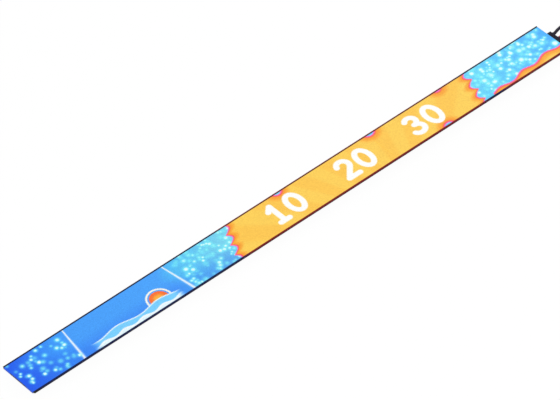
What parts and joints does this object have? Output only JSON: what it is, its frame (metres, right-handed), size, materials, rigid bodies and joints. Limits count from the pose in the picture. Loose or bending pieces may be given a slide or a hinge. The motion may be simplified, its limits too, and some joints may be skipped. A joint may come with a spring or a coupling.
{
  "type": "led shelf edge display",
  "caption": "Slim LED display strip for a shelf edge: lit modules in a black tapered channel, sockets in both end caps, and a plug with a red and a black supply wire.",
  "frame": {"origin": "centre of the display's footprint, on the plane of its back, with the cord left out", "axes": "+X along the display towards the supply plug, +Y across it towards the picture's top edge, +Z out of the lit face"},
  "size_m": [0.9954, 0.0892, 0.014],
  "materials": {
    "black_anodised": "fine satin black anodise over an extruded profile",
    "cap_plastic": "finely textured black moulded end cap",
    "black_steel": "black oxide screw",
    "zinc_steel": "bright zinc plate",
    "magnet_nickel": "nickel plated magnet",
    "lit_resin": "clear satin resin over lit full colour pixels",
    "pixel_mask": "black pixel packages and mask",
    "board_black": "black solder mask over glass epoxy",
    "board_green": "green solder mask over glass epoxy",
    "frame_plastic": "glass filled black nylon",
    "chip_epoxy": "black epoxy package",
    "ivory_nylon": "ivory nylon connector",
    "socket_nylon": "black nylon connector",
    "gold_contact": "gold plated brass contact",
    "tin_plate": "tin plate",
    "plug_rubber": "black moulded plug body",
    "black_pvc": "black PVC wire jacket",
    "red_pvc": "red PVC wire jacket",
    "black_sleeve": "black vinyl crimp sleeve",
    "red_sleeve": "red vinyl crimp sleeve",
    "tie_fabric": "black hook and loop strap"
  },
  "bodies": {
    "root": {"housing_channel": "black_anodised", "end_cap_left": "cap_plastic", "end_cap_right": "cap_plastic", "end_cap_screws": "black_steel", "module_magnets": "magnet_nickel", "keeper_strip_upper": "zinc_steel", "keeper_strip_lower": "zinc_steel", "board_link_left": "ivory_nylon", "board_link_right": "ivory_nylon", "hub_screws": "zinc_steel", "controller_chip": "chip_epoxy", "wireless_module": "tin_plate", "voltage_regulators": "chip_epoxy", "capacitors": "tin_plate", "inlet_socket": "socket_nylon", "inlet_contacts": "gold_contact", "chain_socket": "socket_nylon", "chain_contacts": "gold_contact", "socket_screws": "zinc_steel", "supply_plug": "plug_rubber", "plug_contacts": "gold_contact", "wire_black": "black_pvc", "coil_black": "black_pvc", "tail_black": "black_pvc", "sleeve_black": "black_sleeve", "wire_red": "red_pvc", "coil_red": "red_pvc", "tail_red": "red_pvc", "sleeve_red": "red_sleeve", "fork_terminals": "tin_plate", "coil_tie": "tie_fabric", "resin_cover_left": "lit_resin", "pixel_layer_left": "pixel_mask", "pixel_board_left": "board_black", "module_frame_left": "frame_plastic", "driver_chips_left": "chip_epoxy", "module_header_left": "ivory_nylon", "header_pins_left": "gold_contact", "hub_board_left": "board_green", "hub_socket_left": "socket_nylon", "resin_cover_centre": "lit_resin", "pixel_layer_centre": "pixel_mask", "pixel_board_centre": "board_black", "module_frame_centre": "frame_plastic", "driver_chips_centre": "chip_epoxy", "module_header_centre": "ivory_nylon", "header_pins_centre": "gold_contact", "hub_board_centre": "board_green", "hub_socket_centre": "socket_nylon", "resin_cover_right": "lit_resin", "pixel_layer_right": "pixel_mask", "pixel_board_right": "board_black", "module_frame_right": "frame_plastic", "driver_chips_right": "chip_epoxy", "module_header_right": "ivory_nylon", "header_pins_right": "gold_contact", "hub_board_right": "board_green", "hub_socket_right": "socket_nylon"}
  },
  "joints": []
}
